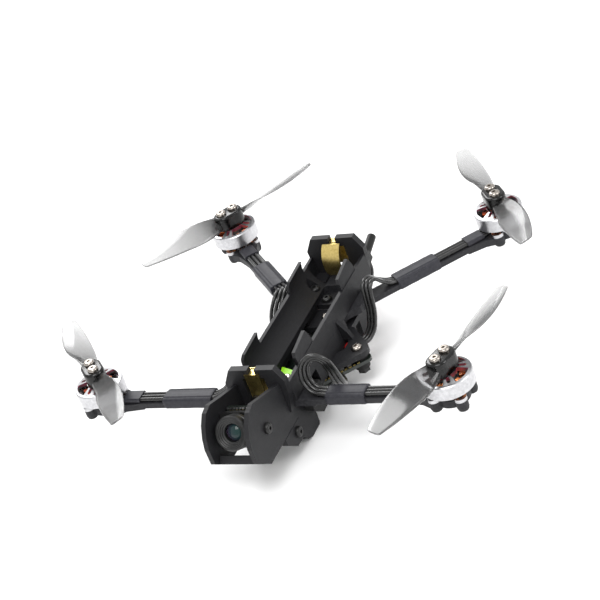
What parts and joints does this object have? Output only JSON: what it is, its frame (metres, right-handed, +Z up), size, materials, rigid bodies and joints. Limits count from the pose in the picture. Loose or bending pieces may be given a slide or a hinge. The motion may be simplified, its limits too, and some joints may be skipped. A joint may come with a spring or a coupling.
{
  "type": "fpv racing drone",
  "caption": "Light racing quadcopter with swept arms, two-blade propellers, a tilting nose camera and an open cradle for one round cell.",
  "frame": {"origin": "middle of the battery cradle, on the cell's axis", "axes": "+Y along the cell towards the tail (the camera faces -Y), +X to the craft's own left, +Z up"},
  "size_m": [0.1681, 0.1633, 0.0338],
  "materials": {
    "carbon": "matte dark carbon plate",
    "printed_black": "matte black printed plastic",
    "rubber_black": "soft black rubber",
    "lime_plastic": "lime green plastic",
    "gold_contact": "gold plated spring strip",
    "moulded_black": "black moulded plastic",
    "lens_black": "dark anodised barrel",
    "lens_glass": "coated lens glass",
    "circuit_board": "black solder mask with gilt edge",
    "chip_black": "chips and capacitors",
    "screw_steel": "bright button head screws",
    "screw_black": "blackened steel screws",
    "tinned_steel": "tinned sheet steel",
    "wire_black": "black silicone wire",
    "wire_red": "red silicone wire",
    "shrink_sleeve": "dark heat-shrink sleeve",
    "motor_silver": "satin aluminium with pink anodised edges",
    "magnet_nickel": "nickel plated magnets",
    "shaft_steel": "ground steel",
    "smoke_blade": "smoke tinted clear plastic",
    "stator_black": "coated steel laminations",
    "copper_winding": "enamelled copper wire"
  },
  "bodies": {
    "airframe": {"antenna_lead": "wire_black", "antenna_mast": "moulded_black", "arm_plate": "carbon", "arm_sleeves": "shrink_sleeve", "battery_lead_black": "wire_black", "battery_lead_red": "wire_red", "battery_tray": "printed_black", "bearings": "shaft_steel", "board_parts": "chip_black", "camera_mount": "printed_black", "contact_tabs": "gold_contact", "dampers": "rubber_black", "flight_controller": "circuit_board", "front_skid": "printed_black", "lime_spacer": "lime_plastic", "motor_bases": "motor_silver", "motor_screws": "screw_black", "motor_wires_fl": "wire_black", "motor_wires_fr": "wire_black", "motor_wires_rl": "wire_black", "motor_wires_rr": "wire_black", "plate_screws": "screw_black", "rear_skid": "printed_black", "side_bumpers": "rubber_black", "stack_nuts": "screw_black", "stack_plate": "printed_black", "stack_screws": "screw_steel", "stator_cores": "stator_black", "usb_socket": "tinned_steel", "video_board": "circuit_board", "video_shield": "tinned_steel", "windings": "copper_winding", "wire_shrinks": "shrink_sleeve"},
    "rotor_fl": {"bell_fl": "motor_silver", "magnets_fl": "magnet_nickel", "shaft_fl": "shaft_steel", "propeller_fl": "smoke_blade", "prop_screws_fl": "screw_steel"},
    "rotor_fr": {"bell_fr": "motor_silver", "magnets_fr": "magnet_nickel", "shaft_fr": "shaft_steel", "propeller_fr": "smoke_blade", "prop_screws_fr": "screw_steel"},
    "rotor_rl": {"bell_rl": "motor_silver", "magnets_rl": "magnet_nickel", "shaft_rl": "shaft_steel", "propeller_rl": "smoke_blade", "prop_screws_rl": "screw_steel"},
    "rotor_rr": {"bell_rr": "motor_silver", "magnets_rr": "magnet_nickel", "shaft_rr": "shaft_steel", "propeller_rr": "smoke_blade", "prop_screws_rr": "screw_steel"},
    "camera": {"camera_body": "moulded_black", "lens_barrel": "lens_black", "lens_glass": "lens_glass", "camera_board": "circuit_board", "camera_screws": "screw_black"},
    "front_contact_leaf": {"front_contact": "gold_contact"},
    "rear_contact_leaf": {"rear_contact": "gold_contact"}
  },
  "joints": [
    {"name": "rotor_fl_spin", "type": "hinge", "parent": "airframe", "child": "rotor_fl", "pos_m": [0.0648, -0.0327, -0.0042], "axis": [0, 0, 1], "continuous": true},
    {"name": "rotor_fr_spin", "type": "hinge", "parent": "airframe", "child": "rotor_fr", "pos_m": [-0.0648, -0.0327, -0.0042], "axis": [0, 0, 1], "continuous": true},
    {"name": "rotor_rl_spin", "type": "hinge", "parent": "airframe", "child": "rotor_rl", "pos_m": [0.05315, 0.0605, -0.0042], "axis": [0, 0, 1], "continuous": true},
    {"name": "rotor_rr_spin", "type": "hinge", "parent": "airframe", "child": "rotor_rr", "pos_m": [-0.05315, 0.0605, -0.0042], "axis": [0, 0, 1], "continuous": true},
    {"name": "camera_tilt", "type": "hinge", "parent": "airframe", "child": "camera", "pos_m": [0, -0.0538, -0.0049], "axis": [1, 0, 0], "range_deg": [-22, 16]},
    {"name": "front_contact_flex", "type": "hinge", "parent": "airframe", "child": "front_contact_leaf", "pos_m": [0, -0.0351, 0.0052], "axis": [-1, 0, 0], "range_deg": [0, 12], "stiffness_Nm_per_rad": 0.09},
    {"name": "rear_contact_flex", "type": "hinge", "parent": "airframe", "child": "rear_contact_leaf", "pos_m": [0, 0.0351, 0.0052], "axis": [1, 0, 0], "range_deg": [0, 12], "stiffness_Nm_per_rad": 0.09}
  ]
}
